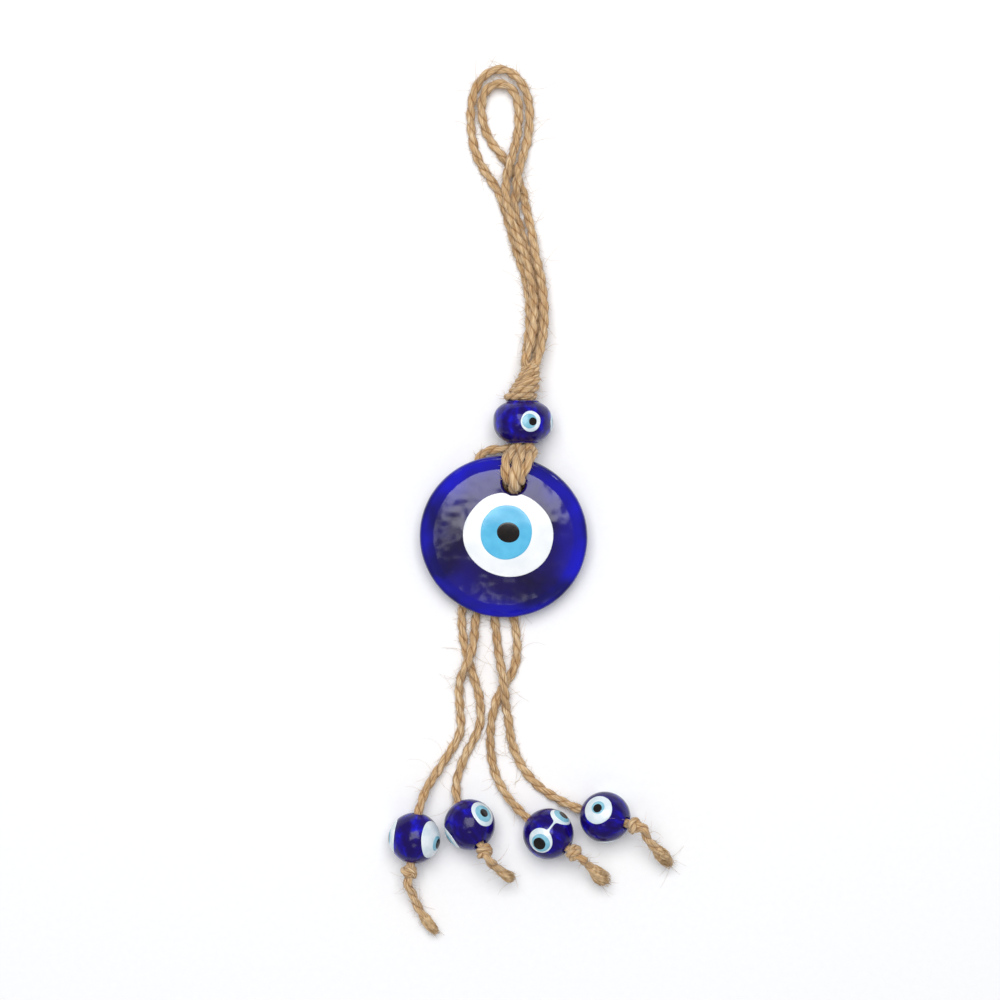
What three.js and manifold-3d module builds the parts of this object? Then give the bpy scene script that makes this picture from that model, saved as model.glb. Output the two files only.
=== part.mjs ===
// Evil eye hanging ornament: a flat glass disc, one barrel bead and four round beads on jute twine.
// Millimetres, +Z up. The ornament lies on its back on the plane z = 0 with its hanger loop towards +Y.
// The origin is the bottom centre of the box round the glass and the collar knot.

import * as THREE from 'three';
import { mergeVertices } from 'three/addons/utils/BufferGeometryUtils.js';
import Module from 'manifold-3d';

const wasm = await Module();
wasm.setup();

// Clearance between pieces that touch.
const gap = 0.3;

// How finely the round shapes are turned: flat sides round the axis, and points on each curve.
const discSides = 48;
const layerSides = 32;
const beadSides = 24;
const eyeSides = 16;
const knotSides = 16;
const stopperSides = 12;
const softCurvePoints = 4;
const beadCurvePoints = 5;

// Jute twine: two folded cords make four strands all the way down.
const strandDiameter = 2.1;
const strandSides = 8;
const strandStep = 2 * strandDiameter;
const strandSpacing = 2.4;

// Glass disc, pressed flat on the back and domed on the front, a little shorter than it is wide.
const discDiameter = 40;
const discShortening = 0.965;
const discThickness = 6.5;
const discRimRadius = 2.1;
const discRimSweep = THREE.MathUtils.degToRad(75);
const discCentre = [-1.5, 18.8, 3.9];
const discTurn = THREE.MathUtils.degToRad(-10.8);
const discTilt = THREE.MathUtils.degToRad(4.4);
const discHoleDiameter = 5.5;
const discHoleOffset = 13.3;

// The three layers of the disc's eye, each let into the one below: place and size in the disc's plane,
// and the height of its seat above the disc's back.
const discLayers = [
  { name: 'disc_eye_white', centre: [0.9, 0.8], diameter: 20.8, seat: 3.6, colour: 'white' },
  { name: 'disc_eye_blue', centre: [0.4, 1.1], diameter: 12.4, seat: 4.6, colour: 'skyBlue' },
  { name: 'disc_eye_pupil', centre: [0.9, 1.2], diameter: 5.2, seat: 5.4, colour: 'black' },
];

// Barrel bead above the disc, with its bore along Y.
const barrelDiameter = 14;
const barrelLength = 10;
const barrelEndDiameter = 9.6;
const barrelBore = 6.4;
const barrelCentre = [3.0, 45.9, 7.0];
const barrelEyeDiameter = 4.9;
const barrelEyeDepth = 1.6;
const barrelEyeAngles = [16, 92, 205];

// Round beads, one at the end of each tail. The bore runs along inPlane, nose up by tilt; eyes are
// the directions in which the eyes face, and knot is how far the stopper knot is from the centre.
const beadDiameter = 12.1;
const beadBore = 3.0;
const beadEndDiameter = 3.8;
const beadEyeDepth = 0.6;
const beads = [
  {
    centre: [-22.7, -53.0], inPlane: [-0.146, -0.989], tilt: 3, eyeDiameter: 7.8, knot: 8.1,
    eyes: [[0.69, 0.07, 0.72], [-1.0, 0.1, 0.0], [0.35, 0.0, -0.94]],
  },
  {
    centre: [-9.6, -49.8], inPlane: [0.504, -0.864], tilt: 26, eyeDiameter: 6.2, knot: 7.7,
    eyes: [[0.49, 0.47, 0.73], [-0.81, -0.59, 0.05], [0.3, 0.35, -0.9]],
  },
  {
    centre: [9.1, -52.0], inPlane: [0.816, -0.578], tilt: 16, eyeDiameter: 6.0, knot: 7.7,
    eyes: [[-0.29, -0.12, 0.95], [0.44, 0.72, 0.53], [-0.3, -0.5, -0.8]],
  },
  {
    centre: [22.6, -48.0], inPlane: [0.971, -0.24], tilt: 26, eyeDiameter: 7.2, knot: 7.7,
    eyes: [[-0.27, 0.32, 0.91], [0.1, -0.98, -0.2], [0.3, 0.5, -0.8]],
  },
];

// Stopper knots are wider across the strand than along it.
const knotWidth = 4.2;
const knotLength = 3.0;

// Collar knot above the barrel bead: a wrapped body on a flatter band that sits on the bead.
const collarBottom = 51.3;
const collarBandHeight = 2.2;
const collarBandRadius = 4.0;
const collarBandCentre = [2.4, 6.8];
const collarTop = 59.0;
const collarRadius = 3.5;
const collarTopRadius = 2.9;
const collarCentre = [4.2, 6.4];
const collarDepth = 0.92;

// Knot behind the disc's hole, which closes the loop of twine round the rim.
const backKnotCentre = [1.0, 31.0, 2.35];
const backKnotRadii = [3.9, 3.4, 2.2];

// Hanger loop: the centre lines of its two strands, from the collar round the loop and back.
const hangerRoutes = {
  hanger_outer: [
    [3.7, 60.2, 4.8], [4.0, 64.0, 3.8], [4.6, 68.8, 2.6], [4.6, 74.0, 1.6], [3.9, 79.8, 1.1],
    [2.1, 85.5, 1.1], [0.4, 91.2, 1.1], [-1.2, 96.9, 1.1], [-2.7, 101.0, 1.1], [-4.9, 104.5, 1.1],
    [-7.3, 108.3, 1.1], [-8.7, 112.4, 1.1], [-9.3, 116.9, 1.2], [-9.3, 121.2, 1.6], [-8.5, 125.0, 2.0],
    [-6.8, 128.0, 2.4], [-4.4, 129.8, 2.7], [-1.6, 130.2, 2.8], [1.1, 128.9, 2.6], [3.3, 126.1, 2.3],
    [4.5, 122.5, 1.9], [4.7, 118.7, 1.5], [4.4, 115.2, 1.3], [3.8, 112.1, 1.5], [3.0, 109.3, 2.4],
    [2.2, 106.7, 3.5], [1.8, 104.0, 3.8], [1.5, 101.2, 3.3], [1.1, 97.4, 1.6], [2.8, 91.2, 1.1],
    [4.6, 85.5, 1.1], [6.3, 79.8, 1.1], [7.0, 74.0, 1.6], [7.0, 68.8, 2.6], [6.5, 64.0, 3.8],
    [6.1, 60.2, 4.8],
  ],
  hanger_inner: [
    [6.2, 60.2, 7.3], [7.4, 64.0, 6.3], [8.1, 68.8, 5.1], [8.1, 74.0, 4.1], [7.5, 79.8, 3.6],
    [6.2, 85.5, 3.5], [5.2, 91.2, 2.5], [3.9, 96.9, 1.3], [3.1, 101.0, 1.1], [1.4, 105.0, 1.1],
    [-0.6, 107.9, 1.1], [-2.7, 110.7, 1.1], [-4.9, 113.8, 1.1], [-6.3, 117.4, 1.2], [-6.8, 121.3, 1.7],
    [-6.2, 124.3, 2.2], [-4.6, 126.2, 2.6], [-2.4, 126.8, 2.7], [-0.2, 126.1, 2.6], [1.3, 124.2, 2.3],
    [2.0, 121.6, 1.9], [2.1, 118.9, 1.5], [1.9, 116.0, 1.3], [1.4, 112.9, 1.7], [0.6, 110.0, 2.9],
    [-0.1, 107.4, 3.8], [-0.8, 104.5, 3.8], [-1.0, 101.2, 3.7], [-0.3, 97.1, 3.7], [1.4, 91.2, 3.7],
    [3.6, 85.5, 3.6], [5.0, 79.8, 3.6], [5.6, 74.0, 4.1], [5.5, 68.8, 5.1], [4.8, 64.0, 6.3],
    [3.6, 60.2, 7.3],
  ],
};

// Strands over the rim: three lie on the front and go down through the hole, one goes round behind.
const rimRoutes = [
  [
    [0.6, 38.8, 9.5], [-0.5, 37.6, 11.5], [-1.1, 35.8, 12.5], [-1.0, 34.0, 12.6], [-0.6, 32.3, 11.5],
    [-0.4, 31.9, 9.0], [-0.3, 32.1, 5.0],
  ],
  [
    [3.0, 38.8, 10.1], [2.0, 37.2, 12.4], [1.4, 35.4, 13.7], [1.1, 33.2, 14.0], [1.0, 31.0, 12.9],
    [1.0, 30.1, 9.8], [1.0, 30.3, 5.0],
  ],
  [
    [5.4, 38.8, 9.1], [4.9, 37.8, 11.2], [4.1, 35.9, 12.5], [3.1, 34.0, 12.6], [2.5, 32.3, 11.5],
    [2.3, 31.9, 9.0], [2.3, 32.1, 5.0],
  ],
  [
    [-0.9, 39.5, 5.3], [-3.6, 39.4, 4.8], [-6.2, 38.6, 4.1], [-7.6, 36.7, 3.5], [-7.1, 34.5, 3.1],
    [-5.4, 32.9, 2.8], [-3.5, 32.0, 2.6],
  ],
];

// Tails: the centre line of each from the back knot to its fold line, then from there to its bead.
const tailUpperRoutes = [
  [
    [-0.3, 27.0, 1.1], [-2.6, 19.0, 1.1], [-5.2, 9.5, 1.1], [-7.9, 0.7, 1.2], [-8.4, -3.1, 1.7],
    [-8.7, -6.4, 2.8], [-9.4, -9.5, 3.6], [-10.7, -12.6, 3.5], [-11.8, -15.5, 2.2], [-12.2, -18.6, 1.2],
    [-12.0, -21.4, 1.1], [-11.9, -23.2, 1.1],
  ],
  [
    [-3.0, 28.0, 1.1], [-5.6, 19.0, 1.1], [-8.7, 9.5, 1.1], [-11.3, 2.1, 1.1], [-11.5, -2.4, 1.1],
    [-11.1, -6.2, 1.1], [-10.3, -9.5, 1.1], [-9.4, -12.6, 1.1], [-8.4, -16.0, 1.1], [-7.3, -20.0, 1.1],
    [-7.0, -23.2, 1.1],
  ],
  [
    [4.8, 28.0, 1.1], [4.0, 19.0, 1.1], [2.4, 9.5, 1.1], [0.8, 0.7, 1.1], [1.3, -3.1, 1.1],
    [1.7, -7.1, 1.1], [1.5, -10.7, 1.1], [0.5, -14.0, 1.1], [-1.4, -17.1, 1.1], [-3.0, -20.0, 1.1],
    [-3.9, -23.2, 1.1],
  ],
  [
    [2.2, 27.0, 1.1], [0.6, 19.0, 1.1], [-1.7, 9.5, 1.1], [-3.8, 0.7, 1.1], [-3.4, -3.1, 1.1],
    [-3.0, -7.1, 1.4], [-2.4, -11.0, 2.4], [-1.8, -14.3, 3.5], [-1.4, -17.1, 3.7], [-1.1, -19.8, 2.9],
    [-0.8, -23.2, 1.1],
  ],
];
const tailLowerRoutes = [
  [
    [-11.8, -24.8, 1.1], [-11.7, -26.7, 1.1], [-12.4, -29.5, 1.1], [-14.2, -32.6, 1.2],
    [-16.4, -36.0, 1.9], [-18.4, -39.0, 3.0], [-20.1, -41.9, 4.3],
  ],
  [
    [-7.0, -24.8, 1.1], [-7.4, -27.1, 1.1], [-8.6, -29.8, 1.1], [-10.0, -32.4, 1.1],
    [-11.3, -35.2, 1.1], [-12.3, -38.1, 1.1], [-12.9, -40.9, 1.6],
  ],
  [
    [-4.3, -24.8, 1.1], [-4.6, -27.6, 1.1], [-4.7, -31.2, 1.1], [-4.3, -35.0, 1.1], [-3.3, -38.6, 1.2],
    [-1.8, -41.7, 1.7], [0.1, -44.4, 2.5],
  ],
  [
    [-0.4, -24.8, 1.1], [-0.1, -27.4, 1.1], [0.6, -31.0, 1.1], [1.8, -34.3, 1.1], [3.7, -37.6, 1.1],
    [6.4, -40.7, 1.1], [9.7, -43.2, 1.2], [13.1, -45.0, 2.2],
  ],
];

// The twine past each stopper knot: the points after the knot, down to the frayed tip.
const tailEndRoutes = [
  [[-23.4, -66.0, 4.9], [-22.0, -69.6, 3.4], [-19.9, -73.1, 2.6], [-17.4, -76.2, 2.3]],
  [[-3.7, -59.2, 9.0], [-1.4, -61.3, 7.0], [0.7, -62.9, 4.8]],
  [[17.7, -58.4, 7.6], [20.6, -61.2, 5.6], [23.3, -64.0, 3.6]],
  [[32.3, -52.4, 9.0], [35.2, -56.0, 6.4], [38.6, -59.8, 3.4]],
];

const colours = {
  cobalt: new THREE.MeshStandardMaterial({ color: 0x16129a, roughness: 0.05, metalness: 0 }),
  white: new THREE.MeshStandardMaterial({ color: 0xf2f5f6, roughness: 0.1, metalness: 0 }),
  skyBlue: new THREE.MeshStandardMaterial({ color: 0x58c4e6, roughness: 0.1, metalness: 0 }),
  black: new THREE.MeshStandardMaterial({ color: 0x0d0b10, roughness: 0.1, metalness: 0 }),
  twine: new THREE.MeshStandardMaterial({ color: 0xb8916a, roughness: 0.9, metalness: 0 }),
};

const up = new THREE.Vector3(0, 1, 0);
const ornament = new THREE.Group();

function material(colour) {
  return colours[colour].clone();
}

function addMesh(parent, name, geometry, colour) {
  const mesh = new THREE.Mesh(geometry, material(colour));
  mesh.name = name;
  parent.add(mesh);
  return mesh;
}

// A closed geometry as a solid for cutting: vertices merged, triangles with no area left out.
function toSolid(geometry) {
  const bare = geometry.clone();
  bare.deleteAttribute('normal');
  bare.deleteAttribute('uv');
  const merged = mergeVertices(bare, 1e-4);
  const index = merged.index.array;
  const triVerts = [];
  for (let i = 0; i < index.length; i += 3) {
    const [a, b, c] = [index[i], index[i + 1], index[i + 2]];
    if (a !== b && b !== c && c !== a) triVerts.push(a, b, c);
  }
  const mesh = new wasm.Mesh({
    numProp: 3,
    vertProperties: new Float32Array(merged.attributes.position.array),
    triVerts: new Uint32Array(triVerts),
  });
  return new wasm.Manifold(mesh);
}

function toGeometry(solid) {
  const { vertProperties, triVerts } = solid.getMesh();
  const geometry = new THREE.BufferGeometry();
  geometry.setAttribute('position', new THREE.BufferAttribute(vertProperties, 3));
  geometry.setIndex(new THREE.BufferAttribute(triVerts, 1));
  geometry.computeVertexNormals();
  return geometry;
}

// A cylinder from one distance to another along a direction out of the origin.
function reachingCylinder(radius, from, to, direction) {
  const geometry = new THREE.CylinderGeometry(radius, radius, to - from, eyeSides);
  geometry.translate(0, (from + to) / 2, 0);
  geometry.applyQuaternion(new THREE.Quaternion().setFromUnitVectors(up, direction));
  return toSolid(geometry);
}

// A plain twine tube along a centre line.
function strandGeometry(points) {
  const curve = new THREE.CatmullRomCurve3(points.map((p) => new THREE.Vector3(...p)), false, 'centripetal');
  const section = new THREE.Shape().absarc(0, 0, strandDiameter / 2, 0, 2 * Math.PI);
  return new THREE.ExtrudeGeometry(section, {
    extrudePath: curve,
    steps: Math.ceil(curve.getLength() / strandStep),
    curveSegments: strandSides / 2,
  });
}

// The disc's outer form, its back on z = 0 and its axis on Z.
function discForm() {
  const radius = discDiameter / 2;
  const outline = new THREE.Path();
  outline.moveTo(0, 0);
  outline.lineTo(radius - discRimRadius, 0);
  outline.absarc(radius - discRimRadius, discRimRadius, discRimRadius, -Math.PI / 2, discRimSweep);
  outline.quadraticCurveTo(radius / 2, discThickness, 0, discThickness);
  const geometry = new THREE.LatheGeometry(outline.getPoints(softCurvePoints), discSides);
  geometry.rotateX(Math.PI / 2);
  geometry.scale(1, discShortening, 1);
  return toSolid(geometry);
}

// An upright cylinder standing on a height, tall enough to clear the disc's front.
function discCutter(diameter, [x, y], floor) {
  const height = 2 * discThickness;
  const geometry = new THREE.CylinderGeometry(diameter / 2, diameter / 2, height, layerSides);
  geometry.rotateX(Math.PI / 2);
  geometry.translate(x, y, floor + height / 2);
  return toSolid(geometry);
}

function addDisc() {
  const group = new THREE.Group();
  group.position.set(...discCentre);
  group.rotation.set(discTilt, 0, discTurn, 'ZYX');
  ornament.add(group);

  const hole = discCutter(discHoleDiameter, [0, discHoleOffset], -discThickness / 2);
  const form = discForm().subtract(hole);
  const pockets = discLayers.map((layer) => discCutter(layer.diameter + 2 * gap, layer.centre, layer.seat));
  addMesh(group, 'disc_glass', toGeometry(form.subtract(pockets[0])), 'cobalt');
  discLayers.forEach((layer, i) => {
    const plug = form.intersect(discCutter(layer.diameter, layer.centre, layer.seat + gap));
    const solid = i + 1 < pockets.length ? plug.subtract(pockets[i + 1]) : plug;
    addMesh(group, layer.name, toGeometry(solid), layer.colour);
  });
}

// A bead with its bore along an axis, from its outline in the half-plane beside that axis.
function beadForm(outline, axis) {
  const geometry = new THREE.LatheGeometry(outline.getPoints(beadCurvePoints), beadSides);
  geometry.applyQuaternion(new THREE.Quaternion().setFromUnitVectors(up, axis));
  return toSolid(geometry);
}

function roundOutline() {
  const radius = beadDiameter / 2;
  const bore = beadBore / 2;
  const end = beadEndDiameter / 2;
  const half = Math.sqrt(radius ** 2 - end ** 2);
  const sweep = Math.acos(end / radius);
  const outline = new THREE.Path();
  outline.moveTo(bore, -half);
  outline.lineTo(end, -half);
  outline.absarc(0, 0, radius, -sweep, sweep);
  outline.lineTo(bore, half);
  outline.lineTo(bore, -half);
  return outline;
}

function barrelOutline() {
  const half = barrelLength / 2;
  const bore = barrelBore / 2;
  const end = barrelEndDiameter / 2;
  const outline = new THREE.Path();
  outline.moveTo(bore, -half);
  outline.lineTo(end, -half);
  outline.absellipse(end, 0, barrelDiameter / 2 - end, half, -Math.PI / 2, Math.PI / 2);
  outline.lineTo(bore, half);
  outline.lineTo(bore, -half);
  return outline;
}

// The glass of a bead with a pocket for each eye, and the eyes let into them.
function addBead(name, centre, form, directions, eyeDiameter, floor, reach) {
  let glass = form;
  directions.forEach((direction, i) => {
    const pocket = reachingCylinder(eyeDiameter / 2 + gap, floor, reach, direction);
    const plug = form.intersect(reachingCylinder(eyeDiameter / 2, floor + gap, reach, direction));
    glass = glass.subtract(pocket);
    addMesh(ornament, `${name}_eye_${i + 1}`, toGeometry(plug), 'white').position.copy(centre);
  });
  addMesh(ornament, `${name}_glass`, toGeometry(glass), 'cobalt').position.copy(centre);
}

function addBarrelBead() {
  const directions = barrelEyeAngles.map((degrees) => {
    const angle = THREE.MathUtils.degToRad(degrees);
    return new THREE.Vector3(Math.sin(angle), 0, Math.cos(angle));
  });
  const floor = barrelDiameter / 2 - barrelEyeDepth;
  const form = beadForm(barrelOutline(), up);
  const centre = new THREE.Vector3(...barrelCentre);
  addBead('barrel', centre, form, directions, barrelEyeDiameter, floor, barrelDiameter);
}

function boreAxis(bead) {
  const tilt = THREE.MathUtils.degToRad(bead.tilt);
  const [x, y] = bead.inPlane;
  return new THREE.Vector3(x * Math.cos(tilt), y * Math.cos(tilt), Math.sin(tilt)).normalize();
}

// The point on a bead's bore axis at a distance from the bead's centre, as three numbers.
function onBore(bead, distance) {
  const centre = new THREE.Vector3(...bead.centre, beadDiameter / 2);
  return centre.addScaledVector(boreAxis(bead), distance).toArray();
}

function addRoundBead(bead, number) {
  const radius = beadDiameter / 2;
  const pocketRadius = bead.eyeDiameter / 2 + gap;
  const floor = Math.sqrt(radius ** 2 - pocketRadius ** 2) - beadEyeDepth;
  const directions = bead.eyes.map((eye) => new THREE.Vector3(...eye).normalize());
  const form = beadForm(roundOutline(), boreAxis(bead));
  const centre = new THREE.Vector3(...bead.centre, radius);
  addBead(`bead_${number}`, centre, form, directions, bead.eyeDiameter, floor, beadDiameter);
}

// A stopper knot: a rounded body, shorter along the strand than across it.
function addStopperKnot(bead, number) {
  const geometry = new THREE.SphereGeometry(knotWidth / 2, stopperSides, stopperSides / 2);
  geometry.scale(1, knotLength / knotWidth, 1);
  geometry.applyQuaternion(new THREE.Quaternion().setFromUnitVectors(up, boreAxis(bead)));
  addMesh(ornament, `stopper_knot_${number}`, geometry, 'twine').position.set(...onBore(bead, bead.knot));
}

// One tail: its two lengths above the knot, the knot, and the frayed end past it.
function addTail(bead, i) {
  const number = i + 1;
  const radius = beadDiameter / 2;
  const knotNear = bead.knot - knotLength / 2 - gap;
  const knotFar = bead.knot + knotLength / 2 + gap;
  const lower = [...tailLowerRoutes[i], onBore(bead, -radius), onBore(bead, 0), onBore(bead, knotNear)];
  const end = [onBore(bead, knotFar), onBore(bead, knotFar + strandDiameter / 2), ...tailEndRoutes[i]];
  addMesh(ornament, `tail_upper_${number}`, strandGeometry(tailUpperRoutes[i]), 'twine');
  addMesh(ornament, `tail_lower_${number}`, strandGeometry(lower), 'twine');
  addMesh(ornament, `tail_end_${number}`, strandGeometry(end), 'twine');
  addStopperKnot(bead, number);
}

// A turned body with its axis along Y, from its outline, placed by the centre of that axis.
function turnedY(outline, [x, z]) {
  const geometry = new THREE.LatheGeometry(outline.getPoints(softCurvePoints), beadSides);
  geometry.scale(1, 1, collarDepth);
  geometry.translate(x, 0, z);
  return toSolid(geometry);
}

function addCollarKnot() {
  const bandTop = collarBottom + collarBandHeight;
  const bandMiddle = collarBottom + collarBandHeight / 2;
  const bandRound = collarBandHeight / 2;
  const band = new THREE.Path();
  band.moveTo(0, collarBottom);
  band.lineTo(collarBandRadius - bandRound, collarBottom);
  band.absarc(collarBandRadius - bandRound, bandMiddle, bandRound, -Math.PI / 2, Math.PI / 2);
  band.lineTo(0, bandTop);
  const body = new THREE.Path();
  body.moveTo(0, bandMiddle);
  body.lineTo(collarTopRadius, bandMiddle);
  const bulge = [2 * collarRadius - collarTopRadius, (bandMiddle + collarTop) / 2];
  body.quadraticCurveTo(...bulge, collarTopRadius, collarTop);
  body.lineTo(0, collarTop);
  const solid = turnedY(band, collarBandCentre).add(turnedY(body, collarCentre));
  addMesh(ornament, 'collar_knot', toGeometry(solid), 'twine');
}

function addBackKnot() {
  const geometry = new THREE.SphereGeometry(1, knotSides, knotSides / 2);
  geometry.scale(...backKnotRadii);
  addMesh(ornament, 'back_knot', geometry, 'twine').position.set(...backKnotCentre);
}

// The four strands inside the barrel bead's bore, two by two, from the collar to the disc's fold line.
function addCoreStrands() {
  const [x, , z] = barrelCentre;
  const top = collarBottom - gap;
  const bottom = barrelCentre[1] - barrelLength / 2 - gap;
  const half = strandSpacing / 2;
  const corners = [[-half, half], [half, half], [half, -half], [-half, -half]];
  corners.forEach(([dx, dz], i) => {
    const route = [[x + dx, top, z + dz], [x + dx, bottom, z + dz]];
    addMesh(ornament, `core_strand_${i + 1}`, strandGeometry(route), 'twine');
  });
}

for (const [name, route] of Object.entries(hangerRoutes)) {
  addMesh(ornament, name, strandGeometry(route), 'twine');
}
addCollarKnot();
addCoreStrands();
addBarrelBead();
addDisc();
rimRoutes.forEach((route, i) => addMesh(ornament, `rim_strand_${i + 1}`, strandGeometry(route), 'twine'));
addBackKnot();
beads.forEach((bead, i) => {
  addTail(bead, i);
  addRoundBead(bead, i + 1);
});

export default ornament;
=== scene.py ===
"""Looks of the evil eye hanging charm: glass disc, beads and jute twine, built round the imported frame.

Everything is in metres in the frame's own axes: +Y towards the hanger loop, +Z up, floor at z = 0.
"""

import math
import random

import bpy
from mathutils import Matrix, Vector, noise


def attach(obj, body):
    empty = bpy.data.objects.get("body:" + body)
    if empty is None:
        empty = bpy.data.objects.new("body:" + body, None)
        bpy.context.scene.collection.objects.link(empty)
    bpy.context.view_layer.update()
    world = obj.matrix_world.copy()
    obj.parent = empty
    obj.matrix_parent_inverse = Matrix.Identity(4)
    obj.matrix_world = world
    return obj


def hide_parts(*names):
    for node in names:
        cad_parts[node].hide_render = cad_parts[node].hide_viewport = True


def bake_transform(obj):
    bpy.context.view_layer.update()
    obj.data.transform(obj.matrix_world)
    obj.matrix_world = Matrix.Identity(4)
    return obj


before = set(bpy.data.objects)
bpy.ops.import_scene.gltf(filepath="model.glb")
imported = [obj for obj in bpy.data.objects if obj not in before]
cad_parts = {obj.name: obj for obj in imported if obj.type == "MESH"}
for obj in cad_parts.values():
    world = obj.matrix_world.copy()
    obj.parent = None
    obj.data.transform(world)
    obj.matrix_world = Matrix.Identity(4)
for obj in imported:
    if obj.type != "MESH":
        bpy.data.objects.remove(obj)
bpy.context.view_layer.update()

MM = 0.001
PLY_RADIUS = 0.80 * MM
PLY_OFFSET = 0.31 * MM
PLY_PITCH = 7.0 * MM
STRAND_SIDES = 20
RING_STEP = 0.24 * MM
SPLINE_STEPS = 24
FIBRE_SIDES = 3
FRAY_FIBRES = 150
TABLE_GAP = 0.03 * MM

# Routes of the twine, the same points as the frame's solids.
HANGER = {
    "hanger_outer": [
        (0.0037, 0.0602, 0.0048), (0.004, 0.064, 0.0038), (0.0046, 0.0688, 0.0026),
        (0.0046, 0.074, 0.0016), (0.0039, 0.0798, 0.0011), (0.0021, 0.0855, 0.0011),
        (0.0004, 0.0912, 0.0011), (-0.0012, 0.0969, 0.0011), (-0.0027, 0.101, 0.0011),
        (-0.0049, 0.1045, 0.0011), (-0.0073, 0.1083, 0.0011), (-0.0087, 0.1124, 0.0011),
        (-0.0093, 0.1169, 0.0012), (-0.0093, 0.1212, 0.0016), (-0.0085, 0.125, 0.002),
        (-0.0068, 0.128, 0.0024), (-0.0044, 0.1298, 0.0027), (-0.0016, 0.1302, 0.0028),
        (0.0011, 0.1289, 0.0026), (0.0033, 0.1261, 0.0023), (0.0045, 0.1225, 0.0019),
        (0.0047, 0.1187, 0.0015), (0.0044, 0.1152, 0.0013), (0.0038, 0.1121, 0.0015),
        (0.003, 0.1093, 0.0024), (0.0022, 0.1067, 0.0035), (0.0018, 0.104, 0.0038),
        (0.0015, 0.1012, 0.0033), (0.0011, 0.0974, 0.0016), (0.0028, 0.0912, 0.0011),
        (0.0046, 0.0855, 0.0011), (0.0063, 0.0798, 0.0011), (0.007, 0.074, 0.0016),
        (0.007, 0.0688, 0.0026), (0.0065, 0.064, 0.0038), (0.0061, 0.0602, 0.0048),
    ],
    "hanger_inner": [
        (0.0062, 0.0602, 0.0073), (0.0074, 0.064, 0.0063), (0.0081, 0.0688, 0.0051),
        (0.0081, 0.074, 0.0041), (0.0075, 0.0798, 0.0036), (0.0062, 0.0855, 0.0035),
        (0.0052, 0.0912, 0.0025), (0.0039, 0.0969, 0.0013), (0.0031, 0.101, 0.0011),
        (0.0014, 0.105, 0.0011), (-0.0006, 0.1079, 0.0011), (-0.0027, 0.1107, 0.0011),
        (-0.0049, 0.1138, 0.0011), (-0.0063, 0.1174, 0.0012), (-0.0068, 0.1213, 0.0017),
        (-0.0062, 0.1243, 0.0022), (-0.0046, 0.1262, 0.0026), (-0.0024, 0.1268, 0.0027),
        (-0.0002, 0.1261, 0.0026), (0.0013, 0.1242, 0.0023), (0.002, 0.1216, 0.0019),
        (0.0021, 0.1189, 0.0015), (0.0019, 0.116, 0.0013), (0.0014, 0.1129, 0.0017),
        (0.0006, 0.11, 0.0029), (-0.0001, 0.1074, 0.0038), (-0.0008, 0.1045, 0.0038),
        (-0.001, 0.1012, 0.0037), (-0.0003, 0.0971, 0.0037), (0.0014, 0.0912, 0.0037),
        (0.0036, 0.0855, 0.0036), (0.005, 0.0798, 0.0036), (0.0056, 0.074, 0.0041),
        (0.0055, 0.0688, 0.0051), (0.0048, 0.064, 0.0063), (0.0036, 0.0602, 0.0073),
    ],
}
RIM = [
    [
        (0.0006, 0.0388, 0.0095), (-0.0005, 0.0376, 0.0115), (-0.0011, 0.0358, 0.0125),
        (-0.001, 0.034, 0.0126), (-0.0006, 0.0323, 0.0115), (-0.0004, 0.0319, 0.009),
        (-0.0003, 0.0321, 0.005),
    ],
    [
        (0.003, 0.0388, 0.0101), (0.002, 0.0372, 0.0124), (0.0014, 0.0354, 0.0137),
        (0.0011, 0.0332, 0.014), (0.001, 0.031, 0.0129), (0.001, 0.0301, 0.0098),
        (0.001, 0.0303, 0.005),
    ],
    [
        (0.0054, 0.0388, 0.0091), (0.0049, 0.0378, 0.0112), (0.0041, 0.0359, 0.0125),
        (0.0031, 0.034, 0.0126), (0.0025, 0.0323, 0.0115), (0.0023, 0.0319, 0.009),
        (0.0023, 0.0321, 0.005),
    ],
    [
        (-0.0009, 0.0395, 0.0053), (-0.0036, 0.0394, 0.0048), (-0.0062, 0.0386, 0.0041),
        (-0.0076, 0.0367, 0.0035), (-0.0071, 0.0345, 0.0031), (-0.0054, 0.0329, 0.0028),
        (-0.0035, 0.032, 0.0026),
    ],
]
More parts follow.
